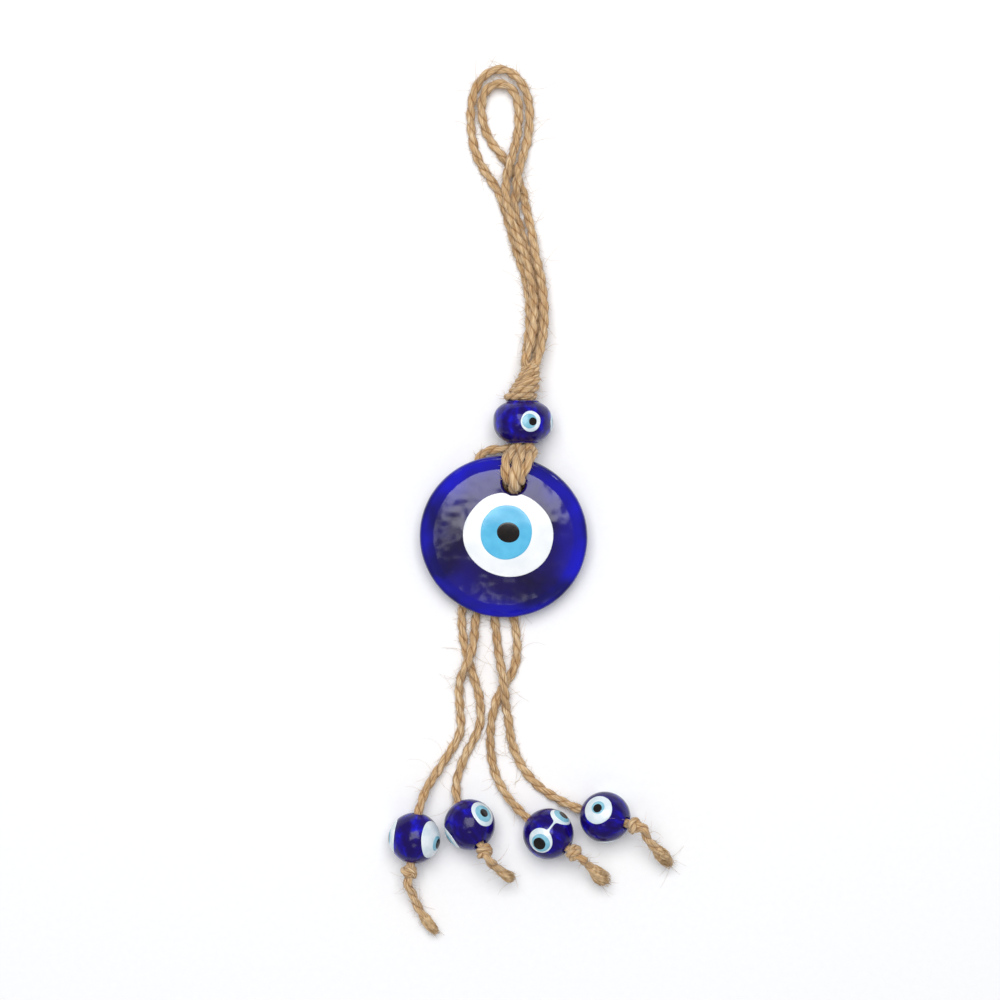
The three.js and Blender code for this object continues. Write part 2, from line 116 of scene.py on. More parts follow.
TAIL_UPPER = [
    [
        (-0.0003, 0.027, 0.0011), (-0.0026, 0.019, 0.0011), (-0.0052, 0.0095, 0.0011),
        (-0.0079, 0.0007, 0.0012), (-0.0084, -0.0031, 0.0017), (-0.0087, -0.0064, 0.0028),
        (-0.0094, -0.0095, 0.0036), (-0.0107, -0.0126, 0.0035), (-0.0118, -0.0155, 0.0022),
        (-0.0122, -0.0186, 0.0012), (-0.012, -0.0214, 0.0011), (-0.0119, -0.0232, 0.0011),
    ],
    [
        (-0.003, 0.028, 0.0011), (-0.0056, 0.019, 0.0011), (-0.0087, 0.0095, 0.0011),
        (-0.0113, 0.0021, 0.0011), (-0.0115, -0.0024, 0.0011), (-0.0111, -0.0062, 0.0011),
        (-0.0103, -0.0095, 0.0011), (-0.0094, -0.0126, 0.0011), (-0.0084, -0.016, 0.0011),
        (-0.0073, -0.02, 0.0011), (-0.007, -0.0232, 0.0011),
    ],
    [
        (0.0048, 0.028, 0.0011), (0.004, 0.019, 0.0011), (0.0024, 0.0095, 0.0011),
        (0.0008, 0.0007, 0.0011), (0.0013, -0.0031, 0.0011), (0.0017, -0.0071, 0.0011),
        (0.0015, -0.0107, 0.0011), (0.0005, -0.014, 0.0011), (-0.0014, -0.0171, 0.0011),
        (-0.003, -0.02, 0.0011), (-0.0039, -0.0232, 0.0011),
    ],
    [
        (0.0022, 0.027, 0.0011), (0.0006, 0.019, 0.0011), (-0.0017, 0.0095, 0.0011),
        (-0.0038, 0.0007, 0.0011), (-0.0034, -0.0031, 0.0011), (-0.003, -0.0071, 0.0014),
        (-0.0024, -0.011, 0.0024), (-0.0018, -0.0143, 0.0035), (-0.0014, -0.0171, 0.0037),
        (-0.0011, -0.0198, 0.0029), (-0.0008, -0.0232, 0.0011),
    ],
]
TAIL_LOWER = [
    [
        (-0.0118, -0.0248, 0.0011), (-0.0117, -0.0267, 0.0011), (-0.0124, -0.0295, 0.0011),
        (-0.0142, -0.0326, 0.0012), (-0.0164, -0.036, 0.0019), (-0.0184, -0.039, 0.003),
        (-0.0201, -0.0419, 0.0043),
    ],
    [
        (-0.007, -0.0248, 0.0011), (-0.0074, -0.0271, 0.0011), (-0.0086, -0.0298, 0.0011),
        (-0.01, -0.0324, 0.0011), (-0.0113, -0.0352, 0.0011), (-0.0123, -0.0381, 0.0011),
        (-0.0129, -0.0409, 0.0016),
    ],
    [
        (-0.0043, -0.0248, 0.0011), (-0.0046, -0.0276, 0.0011), (-0.0047, -0.0312, 0.0011),
        (-0.0043, -0.035, 0.0011), (-0.0033, -0.0386, 0.0012), (-0.0018, -0.0417, 0.0017),
        (0.0001, -0.0444, 0.0025),
    ],
    [
        (-0.0004, -0.0248, 0.0011), (-0.0001, -0.0274, 0.0011), (0.0006, -0.031, 0.0011),
        (0.0018, -0.0343, 0.0011), (0.0037, -0.0376, 0.0011), (0.0064, -0.0407, 0.0011),
        (0.0097, -0.0432, 0.0012), (0.0131, -0.045, 0.0022),
    ],
]
TAIL_END = [
    [
        (-0.0234, -0.066, 0.0049), (-0.022, -0.0696, 0.0034), (-0.0199, -0.0731, 0.0026),
        (-0.0174, -0.0762, 0.0023),
    ],
    [
        (-0.0037, -0.0592, 0.009), (-0.0014, -0.0613, 0.007), (0.0007, -0.0629, 0.0048),
    ],
    [
        (0.0177, -0.0584, 0.0076), (0.0206, -0.0612, 0.0056), (0.0233, -0.064, 0.0036),
    ],
    [
        (0.0323, -0.0524, 0.009), (0.0352, -0.056, 0.0064), (0.0386, -0.0598, 0.0034),
    ],
]


# Inside the barrel bead's bore: the four strands two by two round this point.
CORE_CENTRE = (0.003, 0.007)
CORE_HALF = 0.0012
CORE_TOP = 0.0526
CORE_BOTTOM = 0.0406

BACK_KNOT = Vector((0.001, 0.031, 0.00235))

BARREL_CENTRE = Vector((0.003, 0.0459, 0.007))
BARREL_RADIUS = 0.007
BARREL_HALF = 0.005
BARREL_END = 0.0038
BARREL_BORE = 0.0032
BARREL_EYES = [16, 92, 205]

BEAD_RADIUS = 0.00605
BEAD_BORE = 0.0015

# An eye on a bead: the direction in which it faces, the radius of its white round and along the bead,
# the radius of its blue and of its pupil, and where their middles are from the white's middle.
BEAD_1_EYES = [
    ((0.83, -0.02, 0.56), (4.1, 4.8), 1.8, 1.25, (0.9, -0.9), (1.5, -1.0)),
    ((-1.0, 0.1, 0.0), (4.0, 4.6), 1.9, 1.2, (0.3, -0.3), (0.2, -0.4)),
    ((0.35, 0.0, -0.94), (3.9, 4.4), 1.9, 1.2, (0.2, 0.2), (0.3, 0.4)),
]
BEAD_2_EYES = [
    ((0.57, 0.54, 0.62), (3.1, 3.4), 2.2, 1.05, (-0.1, -0.1), (-0.1, -0.1)),
    ((-0.81, -0.59, 0.05), (3.6, 3.4), 2.3, 1.0, (0.2, 0.0), (0.0, 0.0)),
    ((0.3, 0.35, -0.9), (3.4, 3.4), 2.1, 1.0, (0.0, 0.2), (0.1, 0.2)),
]
BEAD_3_EYES = [
    ((-0.34, -0.18, 0.92), (3.0, 3.2), 2.25, 1.5, (0.1, -0.5), (-0.2, -0.65)),
    ((0.52, 0.76, 0.40), (3.1, 2.6), 2.1, 1.2, (0.3, 0.1), (0.9, 0.1)),
    ((-0.3, -0.5, -0.8), (3.2, 3.0), 2.0, 1.3, (0.0, 0.1), (0.1, 0.2)),
]
BEAD_4_EYES = [
    ((-0.34, 0.42, 0.84), (3.6, 3.7), 1.6, 1.05, (0.15, 0.35), (0.1, 0.1)),
    ((0.1, -0.98, -0.2), (3.5, 3.6), 1.7, 1.1, (0.1, 0.0), (0.2, 0.0)),
    ((0.3, 0.5, -0.8), (3.4, 3.6), 1.6, 1.1, (0.0, 0.1), (0.1, 0.1)),
]

# Round beads: centre and bore direction in plan, the bore's rise, how far the stopper knot is from
# the centre, and the eyes.
BEADS = [
    {"centre": (-0.0227, -0.053), "plan": (-0.146, -0.989), "rise": 3, "knot": 0.0081, "eyes": BEAD_1_EYES},
    {"centre": (-0.0096, -0.0498), "plan": (0.504, -0.864), "rise": 26, "knot": 0.0077, "eyes": BEAD_2_EYES},
    {"centre": (0.0091, -0.052), "plan": (0.816, -0.578), "rise": 16, "knot": 0.0077, "eyes": BEAD_3_EYES},
    {"centre": (0.0226, -0.048), "plan": (0.971, -0.24), "rise": 26, "knot": 0.0077, "eyes": BEAD_4_EYES},
]

DISC_CENTRE = Vector((-0.0015, 0.0188, 0.0039))
DISC_TURN = math.radians(-10.8)
DISC_TILT = math.radians(4.4)
DISC_RADIUS = 0.020
DISC_SHORTENING = 0.965
DISC_THICKNESS = 0.0065
DISC_HOLE = Vector((0.0, 0.0133))
DISC_HOLE_RADIUS = 0.00275
DISC_LIP = 0.0006
DISC_SHOULDER = 0.0168
DISC_SHOULDER_HEIGHT = 0.0052

# The layers of the disc's eye: centre and half widths in the disc's plane, how proud of the glass, slot.
DISC_LAYERS = [
    ("disc_eye_white", (0.0010, 0.0010), (0.0106, 0.0101), 0.00008, "eye_white"),
    ("disc_eye_blue", (0.0004, 0.0015), (0.0061, 0.0065), 0.00014, "eye_blue"),
    ("disc_eye_pupil", (0.0009, 0.0016), (0.0027, 0.0024), 0.00020, "eye_black"),
]


# ---------------------------------------------------------------- camera

def make_camera():
    data = bpy.data.cameras.new("camera")
    data.sensor_width = 36
    data.lens = 105.0
    camera = bpy.data.objects.new("camera", data)
    camera.location = (-0.00238, 0.02738, 0.6995)
    bpy.context.collection.objects.link(camera)
    bpy.context.scene.camera = camera


# ---------------------------------------------------------------- materials

def new_material(name):
    material = bpy.data.materials.new(name)
    material.use_nodes = True
    nodes = material.node_tree.nodes
    return material, nodes, material.node_tree.links, nodes["Principled BSDF"]


def ramp_node(nodes, stops):
    ramp = nodes.new("ShaderNodeValToRGB")
    elements = ramp.color_ramp.elements
    elements[0].position, elements[0].color = stops[0][0], (*stops[0][1], 1)
    elements[1].position, elements[1].color = stops[-1][0], (*stops[-1][1], 1)
    for position, colour in stops[1:-1]:
        elements.new(position).color = (*colour, 1)
    return ramp


def mapped_noise(nodes, links, source, scale, detail, stretch=(1, 1, 1), shift=0.0):
    mapping = nodes.new("ShaderNodeMapping")
    mapping.inputs["Scale"].default_value = stretch
    mapping.inputs["Location"].default_value = (shift, shift, shift)
    links.new(source, mapping.inputs["Vector"])
    texture = nodes.new("ShaderNodeTexNoise")
    texture.inputs["Scale"].default_value = scale
    texture.inputs["Detail"].default_value = detail
    links.new(mapping.outputs["Vector"], texture.inputs["Vector"])
    return texture.outputs["Fac"]


def mix_colour(nodes, links, blend, factor, first, second):
    mix = nodes.new("ShaderNodeMix")
    mix.data_type = "RGBA"
    mix.blend_type = blend
    for socket, value in (("Factor", factor), ("A", first), ("B", second)):
        target = next(s for s in mix.inputs if s.name == socket and s.enabled)
        if isinstance(value, (int, float, tuple)):
            target.default_value = (*value, 1) if isinstance(value, tuple) else value
        else:
            links.new(value, target)
    return next(s for s in mix.outputs if s.enabled)


def add_bump(nodes, links, shader, height, strength, distance):
    bump = nodes.new("ShaderNodeBump")
    bump.inputs["Strength"].default_value = strength
    bump.inputs["Distance"].default_value = distance
    links.new(height, bump.inputs["Height"])
    links.new(bump.outputs["Normal"], shader.inputs["Normal"])


def twine_material():
    """Jute: straw-coloured fibres running along the strand, with painted shade darkening the grooves between
    the plies towards brown.
    """
    material, nodes, links, shader = new_material("jute_twine")
    lie = nodes.new("ShaderNodeAttribute")
    lie.attribute_name = "fibre"
    groove_shade_mask = nodes.new("ShaderNodeAttribute")
    groove_shade_mask.attribute_name = "groove_shade_mask"
    streaks = mapped_noise(nodes, links, lie.outputs["Vector"], 3.8, 5, (1, 1, 0.08))
    fine = mapped_noise(nodes, links, lie.outputs["Vector"], 11.0, 3, (1, 1, 0.06), 4.0)
    patches = mapped_noise(nodes, links, lie.outputs["Vector"], 0.35, 2, (0.5, 0.5, 1), 9.0)
    base = ramp_node(nodes, [
        (0.30, (0.28, 0.16, 0.07)), (0.42, (0.56, 0.36, 0.175)), (0.54, (0.76, 0.53, 0.29)),
        (0.70, (0.95, 0.77, 0.51)),
    ])
    links.new(streaks, base.inputs["Fac"])
    tint = ramp_node(nodes, [(0.35, (0.86, 0.74, 0.60)), (0.62, (1.0, 1.0, 1.0))])
    links.new(patches, tint.inputs["Fac"])
    tinted = mix_colour(nodes, links, "MULTIPLY", 0.75, base.outputs["Color"], tint.outputs["Color"])
    # Painted shade: darkens the colour towards brown in the grooves between the plies, away from the ply
    # crests.
    depth = ramp_node(nodes, [
        (0.0, (0.46, 0.32, 0.20)), (0.18, (0.80, 0.68, 0.56)), (0.42, (1.0, 1.0, 1.0)),
    ])
    links.new(groove_shade_mask.outputs["Fac"], depth.inputs["Fac"])
    shaded = mix_colour(nodes, links, "MULTIPLY", 0.9, tinted, depth.outputs["Color"])
    dark = ramp_node(nodes, [(0.30, (0.62, 0.48, 0.36)), (0.45, (1.0, 1.0, 1.0))])
    links.new(fine, dark.inputs["Fac"])
    final = mix_colour(nodes, links, "MULTIPLY", 0.7, shaded, dark.outputs["Color"])
    links.new(final, shader.inputs["Base Color"])
    height = nodes.new("ShaderNodeMath")
    height.operation = "ADD"
    links.new(streaks, height.inputs[0])
    links.new(fine, height.inputs[1])
    add_bump(nodes, links, shader, height.outputs["Value"], 1.0, 0.00022)
    shader.inputs["Roughness"].default_value = 0.78
    shader.inputs["Specular IOR Level"].default_value = 0.35
    shader.inputs["Sheen Weight"].default_value = 0.25
    shader.inputs["Sheen Roughness"].default_value = 0.45
    return material


def fibre_material(name, dark, pale):
    """Single jute fibres, each paler or browner than the next."""
    material, nodes, links, shader = new_material(name)
    place = nodes.new("ShaderNodeTexCoord").outputs["Object"]
    patches = mapped_noise(nodes, links, place, 900, 2)
    tone = ramp_node(nodes, [(0.3, dark), (0.7, pale)])
    links.new(patches, tone.inputs["Fac"])
    links.new(tone.outputs["Color"], shader.inputs["Base Color"])
    shader.inputs["Roughness"].default_value = 0.7
    shader.inputs["Specular IOR Level"].default_value = 0.3
    return material


def glass_surface(nodes, links, shader, colour, waviness, scale, roughness=0.07):
    """The gloss that all the glass shares: clear, hard and very slightly wavy."""
    links.new(colour, shader.inputs["Base Color"])
    shader.inputs["Roughness"].default_value = roughness
    shader.inputs["IOR"].default_value = 1.5
    shader.inputs["Specular IOR Level"].default_value = 0.40
    place = nodes.new("ShaderNodeTexCoord").outputs["Object"]
    swell = mapped_noise(nodes, links, place, scale, 2, (1, 1, 1), 3.0)
    add_bump(nodes, links, shader, swell, 1.0, waviness)


def disc_glass_material():
    """Pressed cobalt glass: nearly black blue where it is thick, vivid blue in the thin outer band."""
    material, nodes, links, shader = new_material("cobalt_glass_disc")
    reach = nodes.new("ShaderNodeAttribute")
    reach.attribute_name = "reach"
    band = ramp_node(nodes, [
        (0.0, (0.011, 0.005, 0.085)), (0.62, (0.011, 0.005, 0.11)), (0.81, (0.012, 0.007, 0.21)),
        (0.85, (0.009, 0.006, 0.31)), (0.94, (0.008, 0.006, 0.42)), (1.0, (0.008, 0.006, 0.24)),
    ])
    links.new(reach.outputs["Fac"], band.inputs["Fac"])
    place = nodes.new("ShaderNodeTexCoord").outputs["Object"]
    cloud = mapped_noise(nodes, links, place, 90, 2, (1, 1, 1), 1.7)
    depth = ramp_node(nodes, [(0.36, (0.60, 0.50, 0.36)), (0.50, (1.0, 1.0, 0.92)), (0.66, (1.0, 1.1, 1.45))])
    links.new(cloud, depth.inputs["Fac"])
    colour = mix_colour(nodes, links, "MULTIPLY", 1.0, band.outputs["Color"], depth.outputs["Color"])
    glass_surface(nodes, links, shader, colour, 0.00075, 120, 0.17)
    return material


def bead_glass_material():
    """Wound cobalt glass: streaks drawn out along the bore, some lit bright blue from inside."""
    material, nodes, links, shader = new_material("cobalt_glass_bead")
    grain = nodes.new("ShaderNodeAttribute")
    grain.attribute_name = "grain"
    streaks = mapped_noise(nodes, links, grain.outputs["Vector"], 1.3, 2, (1, 1, 0.28))
    tone = ramp_node(nodes, [
        (0.40, (0.010, 0.003, 0.10)), (0.54, (0.012, 0.004, 0.17)), (0.64, (0.011, 0.006, 0.34)),
        (0.74, (0.014, 0.012, 0.66)),
    ])
    links.new(streaks, tone.inputs["Fac"])
    glass_surface(nodes, links, shader, tone.outputs["Color"], 0.00022, 300, 0.17)
    shader.inputs["Specular IOR Level"].default_value = 0.24
    return material


def enamel_material(name, low, high, scale):
    """Opaque fused glass with a faint mottle."""
    material, nodes, links, shader = new_material(name)
    place = nodes.new("ShaderNodeTexCoord").outputs["Object"]
    cloud = mapped_noise(nodes, links, place, scale, 3)
    tone = ramp_node(nodes, [(0.32, low), (0.68, high)])
    links.new(cloud, tone.inputs["Fac"])
    glass_surface(nodes, links, shader, tone.outputs["Color"], 0.00004, 160, 0.12)
    shader.inputs["Subsurface Weight"].default_value = 0.08
    shader.inputs["Subsurface Radius"].default_value = (0.001, 0.001, 0.001)
    return material


def floor_material():
    """Matt white paper."""
    material, nodes, links, shader = new_material("paper")
    place = nodes.new("ShaderNodeTexCoord").outputs["Object"]
    tooth = mapped_noise(nodes, links, place, 700, 3)
    tone = ramp_node(nodes, [(0.2, (0.93, 0.93, 0.935)), (0.8, (0.955, 0.955, 0.96))])
    links.new(tooth, tone.inputs["Fac"])
    links.new(tone.outputs["Color"], shader.inputs["Base Color"])
    shader.inputs["Roughness"].default_value = 0.9
    shader.inputs["Specular IOR Level"].default_value = 0.1
    return material


# ---------------------------------------------------------------- mesh helpers

def make_object(name, verts, faces, material):
    mesh = bpy.data.meshes.new(name)
    mesh.from_pydata(verts, [], faces)
    mesh.materials.append(material)
    mesh.update()
    mesh.shade_smooth()
    thing = bpy.data.objects.new(name, mesh)
    bpy.context.collection.objects.link(thing)
    return thing


def set_attribute(thing, name, kind, values):
    field = "vector" if kind == "FLOAT_VECTOR" else "value"
    attribute = thing.data.attributes.new(name, kind, "POINT")
    flat = [c for v in values for c in v] if field == "vector" else list(values)
    attribute.data.foreach_set(field, flat)


def spline(points, closed=False):
    """Points close together along a centripetal Catmull-Rom curve through the route."""
    points = [Vector(p) for p in points]
    if closed:
        chain = [points[-1], *points, points[0], points[1]]
    else:
        chain = [2 * points[0] - points[1], *points, 2 * points[-1] - points[-2]]
    line = []
    for p0, p1, p2, p3 in zip(chain, chain[1:], chain[2:], chain[3:]):
        t1 = math.sqrt(max((p1 - p0).length, 1e-9))
        t2 = t1 + math.sqrt(max((p2 - p1).length, 1e-9))
        t3 = t2 + math.sqrt(max((p3 - p2).length, 1e-9))
        for i in range(SPLINE_STEPS):
            t = t1 + (t2 - t1) * i / SPLINE_STEPS
            a1 = p0.lerp(p1, t / t1)
            a2 = p1.lerp(p2, (t - t1) / (t2 - t1))
            a3 = p2.lerp(p3, (t - t2) / (t3 - t2))
            b1 = a1.lerp(a2, t / t2)
            b2 = a2.lerp(a3, (t - t1) / (t3 - t1))
            line.append(b1.lerp(b2, (t - t1) / (t2 - t1)))
    if not closed:
        line.append(points[-1])
    return line


def even_points(line, step, closed=False):
    """The same line with its points an even distance apart."""
    chain = [*line, line[0]] if closed else line
    lengths = [0.0]
    for a, b in zip(chain, chain[1:]):
        lengths.append(lengths[-1] + (b - a).length)
    count = max(2, round(lengths[-1] / step))
    result = []
    k = 0
    for i in range(count if closed else count + 1):
        target = lengths[-1] * i / count
        while k < len(lengths) - 2 and lengths[k + 1] < target:
            k += 1
        span = max(lengths[k + 1] - lengths[k], 1e-12)
        result.append(chain[k].lerp(chain[k + 1], (target - lengths[k]) / span))
    return result


def path_length(line):
    return sum((b - a).length for a, b in zip(line, line[1:]))


def frames_along(line, closed=False):
    """A side and an up direction at each point that don't twist about the line."""
    count = len(line)
    tangents = []
    for i in range(count):
        before = line[i - 1] if closed or i > 0 else line[i]
        after = line[(i + 1) % count] if closed or i < count - 1 else line[i]
        tangents.append((after - before).normalized())
    side = tangents[0].orthogonal().normalized()
    frames = []
    for tangent in tangents:
        side = (side - tangent * side.dot(tangent)).normalized()
        frames.append((side.copy(), tangent.cross(side)))
    return tangents, frames


def strand(name, route, material, seed=0, ply=1.0, closed=False, taper=0.0):
    """Two-ply twine along a route, with ridges of fibre; taper is the length over which its end thins."""
    step = RING_STEP * (0.7 + 0.3 * ply)
    line = even_points(spline(route, closed), step, closed)
    frames = frames_along(line, closed)[1]
    total = path_length(line)
    pitch = PLY_PITCH * ply
    if closed:
        pitch = total / max(1, round(total / pitch))
    verts, fibre, groove_shade_mask = [], [], []
    for i, (point, (side, rise)) in enumerate(zip(line, frames)):
        s = total * i / (len(line) - 1)
        turn = -2 * math.pi * s / pitch
        swell = 1 + 0.07 * noise.noise(Vector((s * 260, seed * 3.7, 0)))
        if taper and total - s < taper:
            swell *= 0.30 + 0.70 * math.sqrt(max(total - s, 0.0) / taper)
        for k in range(STRAND_SIDES):
            around = 2 * math.pi * k / STRAND_SIDES
            angle = turn + around
            lean = abs(math.cos(around))
            radius = PLY_OFFSET * lean
            radius += math.sqrt(PLY_RADIUS ** 2 - (PLY_OFFSET * math.sin(around)) ** 2)
            ridge = noise.noise(Vector((math.cos(angle) * 4 + seed, math.sin(angle) * 4, s * 330)))
            radius *= ply * swell * (1 + 0.09 * ridge)
            place = point + radius * (side * math.cos(angle) + rise * math.sin(angle))
            place.z = max(place.z, TABLE_GAP)
            verts.append(place)
            fibre.append((math.cos(angle) + seed * 5.3, math.sin(angle), s * 1000 / ply))
            # lean is 1 on a ply's crest and 0 in the groove between plies; it masks the painted groove shade.
            groove_shade_mask.append(lean)
    faces = tube_faces(len(line), STRAND_SIDES, closed)
    thing = make_object(name, verts, faces, material)
    set_attribute(thing, "fibre", "FLOAT_VECTOR", fibre)
    set_attribute(thing, "groove_shade_mask", "FLOAT", groove_shade_mask)
    return thing, line


def tube_faces(rings, sides, closed=False, first=0):
    faces = []
    for i in range(rings if closed else rings - 1):
        near = first + i * sides
        far = first + ((i + 1) % rings) * sides
        for k in range(sides):
            n = (k + 1) % sides
            faces.append((near + k, near + n, far + n, far + k))
    if not closed:
        faces.append(tuple(range(first + sides - 1, first - 1, -1)))
        faces.append(tuple(range(first + (rings - 1) * sides, first + rings * sides)))
    return faces


def add_fibre(verts, faces, points, radius):
    """One thin three-sided fibre through a few points, thinner to its tip."""
    frames = frames_along(points)[1]
    first = len(verts)
    for i, (point, (side, rise)) in enumerate(zip(points, frames)):
        r = radius * (1 - 0.6 * i / (len(points) - 1))
        for k in range(FIBRE_SIDES):
            angle = 2 * math.pi * k / FIBRE_SIDES
            verts.append(point + r * (side * math.cos(angle) + rise * math.sin(angle)))
    faces.extend(tube_faces(len(points), FIBRE_SIDES, first=first))


def curl(rng, start, direction, length, bend, count=6):
    """Points of a loose fibre that wanders as it goes."""
    points = [start.copy()]
    heading = direction.normalized()
    wander = Vector((rng.uniform(-1, 1), rng.uniform(-1, 1), rng.uniform(-1, 1))) * bend
    for _ in range(count - 1):
        heading = (heading + wander / (count - 1)).normalized()
        heading.z = max(heading.z, -0.6)
        point = points[-1] + heading * (length / (count - 1))
        point.z = max(point.z, 3 * TABLE_GAP)
        points.append(point)
    return points


def fuzz(name, line, material, seed, short=6.5, long=0.8, skip=()):
    """Hairs that stand off a strand: many short ones and a few long strays."""
    rng = random.Random(seed)
    tangents, frames = frames_along(line)
    total = path_length(line)
    verts, faces = [], []
    for kind, density in (("short", short), ("long", long)):
        for _ in range(int(total * 1000 * density)):
            i = rng.randrange(len(line))
            if any(lo <= i / len(line) <= hi for lo, hi in skip):
                continue
            side, rise = frames[i]
            angle = rng.uniform(0, 2 * math.pi)
            out = side * math.cos(angle) + rise * math.sin(angle)
            along = tangents[i] * rng.choice((-1, 1))
            start = line[i] + out * 0.00075
            if kind == "short":
                length = rng.uniform(0.0007, 0.0024)
                heading = out * rng.uniform(0.25, 0.9) + along
                points = curl(rng, start, heading, length, 0.9, 4)
                add_fibre(verts, faces, points, rng.uniform(0.000034, 0.000062))
            else:
                length = rng.uniform(0.0025, 0.0085)
                heading = out * rng.uniform(0.3, 0.8) + along
                points = curl(rng, start, heading, length, 1.6, 8)
                add_fibre(verts, faces, points, rng.uniform(0.000030, 0.000052))
    thing = make_object(name, verts, faces, material)
    return thing


def frayed_end(name, line, material, seed, length, widths):
    """A brush of fibres where the cut end of a strand opens; widths are its radii from start to tip."""
    rng = random.Random(seed)
    tangents, frames = frames_along(line)
    step = path_length(line) / (len(line) - 1)
    back = int(length / step)
    verts, faces = [], []
    for _ in range(FRAY_FIBRES):
        angle = rng.uniform(0, 2 * math.pi)
        spread = math.sqrt(rng.random())
        reach = rng.uniform(0.86, 1.0) if rng.random() < 0.9 else rng.uniform(1.0, 1.10)
        reach -= 0.10 * spread
        lag = rng.uniform(0, 0.35)
        points = []
        for j in range(8):
            t = lag + (1 - lag) * j / 7
            u = t * reach
            i = min(len(line) - 1, len(line) - 1 - back + int(u * back))
            over = max(0.0, u - 1.0) * length
            side, rise = frames[i]
            place = min(t * (len(widths) - 1), len(widths) - 1.001)
            k = int(place)
            wide = widths[k] + (widths[k + 1] - widths[k]) * (place - k)
            twirl = angle - 1.4 * t
            offset = (side * math.cos(twirl) + rise * math.sin(twirl)) * spread * wide
            jitter = Vector((rng.uniform(-1, 1), rng.uniform(-1, 1), rng.uniform(-1, 1))) * 0.00007 * t
            point = line[i] + tangents[i] * over + offset + jitter
            point.z = max(point.z, 0.0002)
            points.append(point)
        add_fibre(verts, faces, points, rng.uniform(0.00010, 0.00018))
    thing = make_object(name, verts, faces, material)
    return thing


# ---------------------------------------------------------------- twine pieces

def hanger(twine, loose):
    for number, (name, route) in enumerate(HANGER.items()):
        first, last = Vector(route[0]), Vector(route[-1])
        inner = [Vector((0.0040, 0.0578, 0.0064)), Vector((0.0052, 0.0578, 0.0064))]
        whole = [inner[0] + (first - last) * 0.1, *route, inner[1] - (first - last) * 0.1]
        thing, line = strand(name + "_twine", whole, twine, seed=number + 1)
        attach(thing, "hanger")
        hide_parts(name)
        hairs = fuzz(name + "_fuzz", line, loose, 40 + number, skip=((0, 0.01), (0.99, 1)))
        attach(hairs, "hanger")


def wrap_ring(name, centre, radius_x, radius_z, lean, twine, seed, ply=1.0, body="neck", axis="y"):
    """One turn of twine round the bundle, higher on one side by lean."""
    route = []
    for k in range(14):
        angle = 2 * math.pi * k / 14
        x = radius_x * math.cos(angle)
        z = radius_z * math.sin(angle)
        across = Vector((x, lean * math.cos(angle), z))
        if axis == "z":
            across = Vector((x, z, lean * math.cos(angle)))
        route.append(centre + across)
    thing, line = strand(name, route, twine, seed=seed, ply=ply, closed=True)
    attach(thing, body)
    return thing, line


def collar(twine, loose):
    """The knot above the barrel bead: one thin turn below, then turns that narrow up to the hanger."""
    heart = lathe_y("collar_heart", [
        (0.0024, 0.0003, 0.0514), (0.0024, 0.0030, 0.0516), (0.0030, 0.0029, 0.0530),
        (0.0037, 0.0026, 0.0547), (0.0042, 0.0021, 0.0565), (0.0046, 0.0015, 0.0583),
        (0.0048, 0.0003, 0.0592),
    ], twine)
    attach(heart, "neck")
    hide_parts("collar_knot")
    turns = [
        (0.0025, 0.0519, 0.0068, 0.0032, 0.0001), (0.0034, 0.0536, 0.0067, 0.0027, 0.0005),
        (0.0039, 0.0551, 0.0066, 0.0024, 0.0008), (0.0042, 0.0564, 0.0065, 0.0020, 0.0009),
        (0.0045, 0.0577, 0.0064, 0.0016, 0.0008), (0.0048, 0.0590, 0.0063, 0.0013, 0.0006),
    ]
    for i, (x, y, z, radius, lean) in enumerate(turns):
        name = f"collar_turn_{i + 1}"
        centre = Vector((x, y, z))
        ply = 0.92 if i else 0.75
        line = wrap_ring(name, centre, radius, radius * 0.95, lean, twine, 11 + i, ply)[1]
        hairs = fuzz(name + "_fuzz", line, loose, 11 + i, short=6.0, long=0.30)
        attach(hairs, "neck")


# The strands over the rim are untwisted a little and swell against each other.
RIM_SWELL = [1.17, 1.22, 1.17, 1.0]


def rim(twine, loose):
    """Each strand from the collar through the barrel bead and over the disc's rim to the back knot."""
    x, z = CORE_CENTRE
    corners = [(-1, 1), (1, 1), (1, -1), (-1, -1)]
    for i, route in enumerate(RIM):
        dx, dz = corners[i][0] * CORE_HALF, corners[i][1] * CORE_HALF
        core = [(x + dx, y, z + dz) for y in (CORE_TOP, 0.0495, 0.0465, 0.0435, CORE_BOTTOM)]
        knot = [BACK_KNOT + (Vector(route[-1]) - BACK_KNOT) * 0.35]
        whole = core + list(route) + knot
        thing, line = strand(f"rim_twine_{i + 1}", whole, twine, seed=20 + i, ply=RIM_SWELL[i])
        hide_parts(f"core_strand_{i + 1}", f"rim_strand_{i + 1}")
        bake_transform(thing)
        hidden = ((0, 0.38), (0.8, 1))
        hairs = fuzz(f"rim_fuzz_{i + 1}", line, loose, 60 + i, short=9.0, long=0.30, skip=hidden)
        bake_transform(hairs)


def back_knot(twine):
    """The knot behind the hole: turns of twine lying across each other."""
    turns = [
        ((0, 0, 0.0001), 0.0028, 0.0024, 0.0), ((0.0002, 0.0001, 0.0001), 0.0023, 0.0019, 0.0009),
        ((-0.0002, 0.0, 0.0001), 0.0017, 0.0015, -0.0011), ((0, 0.0001, 0), 0.0010, 0.0009, 0.0007),
    ]
    for i, (shift, rx, ry, lean) in enumerate(turns):
        ring = wrap_ring(
            f"back_knot_turn_{i + 1}", BACK_KNOT + Vector(shift), rx, ry, lean, twine, 30 + i,
            body="disc", axis="z",
        )[0]
        if i == 0:
            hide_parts("back_knot")


def bead_axis(bead):
    rise = math.radians(bead["rise"])
    x, y = bead["plan"]
    return Vector((x * math.cos(rise), y * math.cos(rise), math.sin(rise))).normalized()


def on_bore(bead, distance):
    return Vector((*bead["centre"], BEAD_RADIUS)) + bead_axis(bead) * distance


